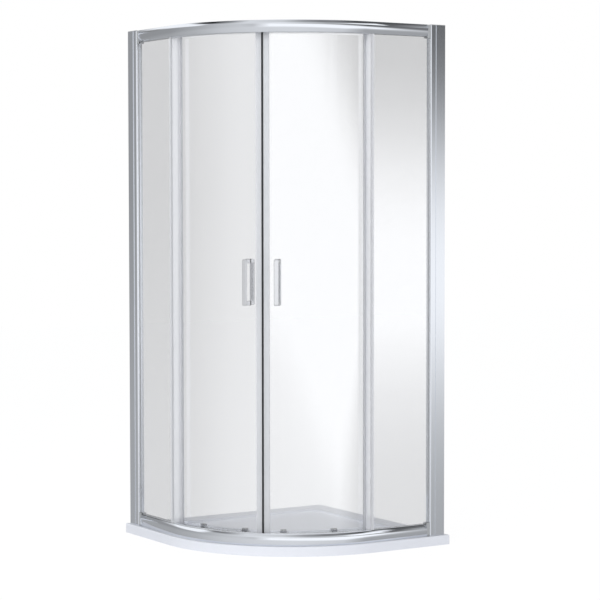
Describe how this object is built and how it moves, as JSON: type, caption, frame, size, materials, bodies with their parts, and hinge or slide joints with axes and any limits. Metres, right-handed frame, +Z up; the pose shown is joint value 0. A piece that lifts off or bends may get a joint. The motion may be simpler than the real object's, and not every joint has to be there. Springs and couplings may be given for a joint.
{
  "type": "quadrant shower enclosure",
  "caption": "Quadrant shower enclosure on a low tray, with curved sliding glass doors between fixed panes, back-to-back bar handles and polished aluminium rails.",
  "frame": {"origin": "middle of the tray's underside, in plan", "axes": "+Z up; -X is the left wall, +Y the back wall; the curved front faces +X and -Y"},
  "size_m": [0.9, 0.9, 1.935],
  "materials": {
    "clear_glass": "polished",
    "clear_seal": "satin",
    "gasket": "matte",
    "handle_chrome": "polished",
    "magnet": "matte",
    "moulding": "satin",
    "profile": "polished",
    "spring_steel": "satin",
    "stop_rubber": "matte",
    "tray_resin": "gloss",
    "wheel_nylon": "satin"
  },
  "bodies": {
    "frame": {"bottom_corner_blocks": "moulding", "bottom_rail": "profile", "door_stops": "stop_rubber", "left_jamb": "profile", "left_pane": "clear_glass", "left_pane_gaskets": "gasket", "left_pane_seal": "clear_seal", "left_wall_profile": "profile", "post_caps": "moulding", "right_jamb": "profile", "right_pane": "clear_glass", "right_pane_gaskets": "gasket", "right_pane_seal": "clear_seal", "right_wall_profile": "profile", "slot_fillers": "gasket", "top_corner_blocks": "moulding", "top_rail": "profile", "tray": "tray_resin"},
    "left_door": {"left_bottom_plates": "moulding", "left_door_glass": "clear_glass", "left_inner_handle": "handle_chrome", "left_lead_spring": "spring_steel", "left_magnet_holder": "clear_seal", "left_magnet_strip": "magnet", "left_outer_handle": "handle_chrome", "left_release_housings": "moulding", "left_top_caps": "moulding", "left_top_hangers": "moulding", "left_trail_spring": "spring_steel", "left_trailing_seal": "clear_seal"},
    "left_lead_release": {"left_lead_release": "moulding"},
    "left_top_lead_wheel": {"left_top_lead_wheel": "wheel_nylon"},
    "left_bottom_lead_wheel": {"left_bottom_lead_wheel": "wheel_nylon"},
    "left_trail_release": {"left_trail_release": "moulding"},
    "left_top_trail_wheel": {"left_top_trail_wheel": "wheel_nylon"},
    "left_bottom_trail_wheel": {"left_bottom_trail_wheel": "wheel_nylon"},
    "right_door": {"right_bottom_plates": "moulding", "right_door_glass": "clear_glass", "right_inner_handle": "handle_chrome", "right_lead_spring": "spring_steel", "right_magnet_holder": "clear_seal", "right_magnet_strip": "magnet", "right_outer_handle": "handle_chrome", "right_release_housings": "moulding", "right_top_caps": "moulding", "right_top_hangers": "moulding", "right_trail_spring": "spring_steel", "right_trailing_seal": "clear_seal"},
    "right_lead_release": {"right_lead_release": "moulding"},
    "right_top_lead_wheel": {"right_top_lead_wheel": "wheel_nylon"},
    "right_bottom_lead_wheel": {"right_bottom_lead_wheel": "wheel_nylon"},
    "right_trail_release": {"right_trail_release": "moulding"},
    "right_top_trail_wheel": {"right_top_trail_wheel": "wheel_nylon"},
    "right_bottom_trail_wheel": {"right_bottom_trail_wheel": "wheel_nylon"}
  },
  "joints": [
    {"name": "left_door_slide", "type": "hinge", "parent": "frame", "child": "left_door", "pos_m": [-0.12479, 0.1284, 1], "axis": [0, 0, -1], "range_deg": [0, 25.5]},
    {"name": "left_lead_release_press", "type": "slide", "parent": "left_door", "child": "left_lead_release", "axis": [0, 0, -1], "range_m": [0, 0.006], "stiffness_N_per_m": 500, "springref_m": -0.004, "deforming": ["left_lead_spring"]},
    {"name": "left_top_lead_wheel_spin", "type": "hinge", "parent": "left_door", "child": "left_top_lead_wheel", "pos_m": [0.20062, -0.31074, 1.9037], "axis": [0.5906, -0.807, 0], "range_deg": [0, 1300]},
    {"name": "left_bottom_lead_wheel_spin", "type": "hinge", "parent": "left_lead_release", "child": "left_bottom_lead_wheel", "pos_m": [0.20062, -0.31074, 0.0663], "axis": [-0.5906, 0.807, 0], "range_deg": [0, 1300]},
    {"name": "left_trail_release_press", "type": "slide", "parent": "left_door", "child": "left_trail_release", "axis": [0, 0, -1], "range_m": [0, 0.006], "stiffness_N_per_m": 500, "springref_m": -0.004, "deforming": ["left_trail_spring"]},
    {"name": "left_top_trail_wheel_spin", "type": "hinge", "parent": "left_door", "child": "left_top_trail_wheel", "pos_m": [0.01882, -0.39494, 1.9037], "axis": [0.2334, -0.9724, 0], "range_deg": [0, 1300]},
    {"name": "left_bottom_trail_wheel_spin", "type": "hinge", "parent": "left_trail_release", "child": "left_bottom_trail_wheel", "pos_m": [0.01882, -0.39494, 0.0663], "axis": [-0.2334, 0.9724, 0], "range_deg": [0, 1300]},
    {"name": "right_door_slide", "type": "hinge", "parent": "frame", "child": "right_door", "pos_m": [-0.1284, 0.12479, 1], "axis": [0, 0, 1], "range_deg": [0, 25.5]},
    {"name": "right_lead_release_press", "type": "slide", "parent": "right_door", "child": "right_lead_release", "axis": [0, 0, -1], "range_m": [0, 0.006], "stiffness_N_per_m": 500, "springref_m": -0.004, "deforming": ["right_lead_spring"]},
    {"name": "right_top_lead_wheel_spin", "type": "hinge", "parent": "right_door", "child": "right_top_lead_wheel", "pos_m": [0.31074, -0.20062, 1.9037], "axis": [-0.807, 0.5906, 0], "range_deg": [0, 1300]},
    {"name": "right_bottom_lead_wheel_spin", "type": "hinge", "parent": "right_lead_release", "child": "right_bottom_lead_wheel", "pos_m": [0.31074, -0.20062, 0.0663], "axis": [0.807, -0.5906, 0], "range_deg": [0, 1300]},
    {"name": "right_trail_release_press", "type": "slide", "parent": "right_door", "child": "right_trail_release", "axis": [0, 0, -1], "range_m": [0, 0.006], "stiffness_N_per_m": 500, "springref_m": -0.004, "deforming": ["right_trail_spring"]},
    {"name": "right_top_trail_wheel_spin", "type": "hinge", "parent": "right_door", "child": "right_top_trail_wheel", "pos_m": [0.39494, -0.01882, 1.9037], "axis": [-0.9724, 0.2334, 0], "range_deg": [0, 1300]},
    {"name": "right_bottom_trail_wheel_spin", "type": "hinge", "parent": "right_trail_release", "child": "right_bottom_trail_wheel", "pos_m": [0.39494, -0.01882, 0.0663], "axis": [0.9724, -0.2334, 0], "range_deg": [0, 1300]}
  ],
  "couplings": [
    {"joint": "left_top_lead_wheel_spin", "follows": "left_door_slide", "ratio": 49.688},
    {"joint": "left_bottom_lead_wheel_spin", "follows": "left_door_slide", "ratio": 49.688},
    {"joint": "left_top_trail_wheel_spin", "follows": "left_door_slide", "ratio": 49.335},
    {"joint": "left_bottom_trail_wheel_spin", "follows": "left_door_slide", "ratio": 49.335},
    {"joint": "right_top_lead_wheel_spin", "follows": "right_door_slide", "ratio": 49.688},
    {"joint": "right_bottom_lead_wheel_spin", "follows": "right_door_slide", "ratio": 49.688},
    {"joint": "right_top_trail_wheel_spin", "follows": "right_door_slide", "ratio": 49.335},
    {"joint": "right_bottom_trail_wheel_spin", "follows": "right_door_slide", "ratio": 49.335}
  ]
}
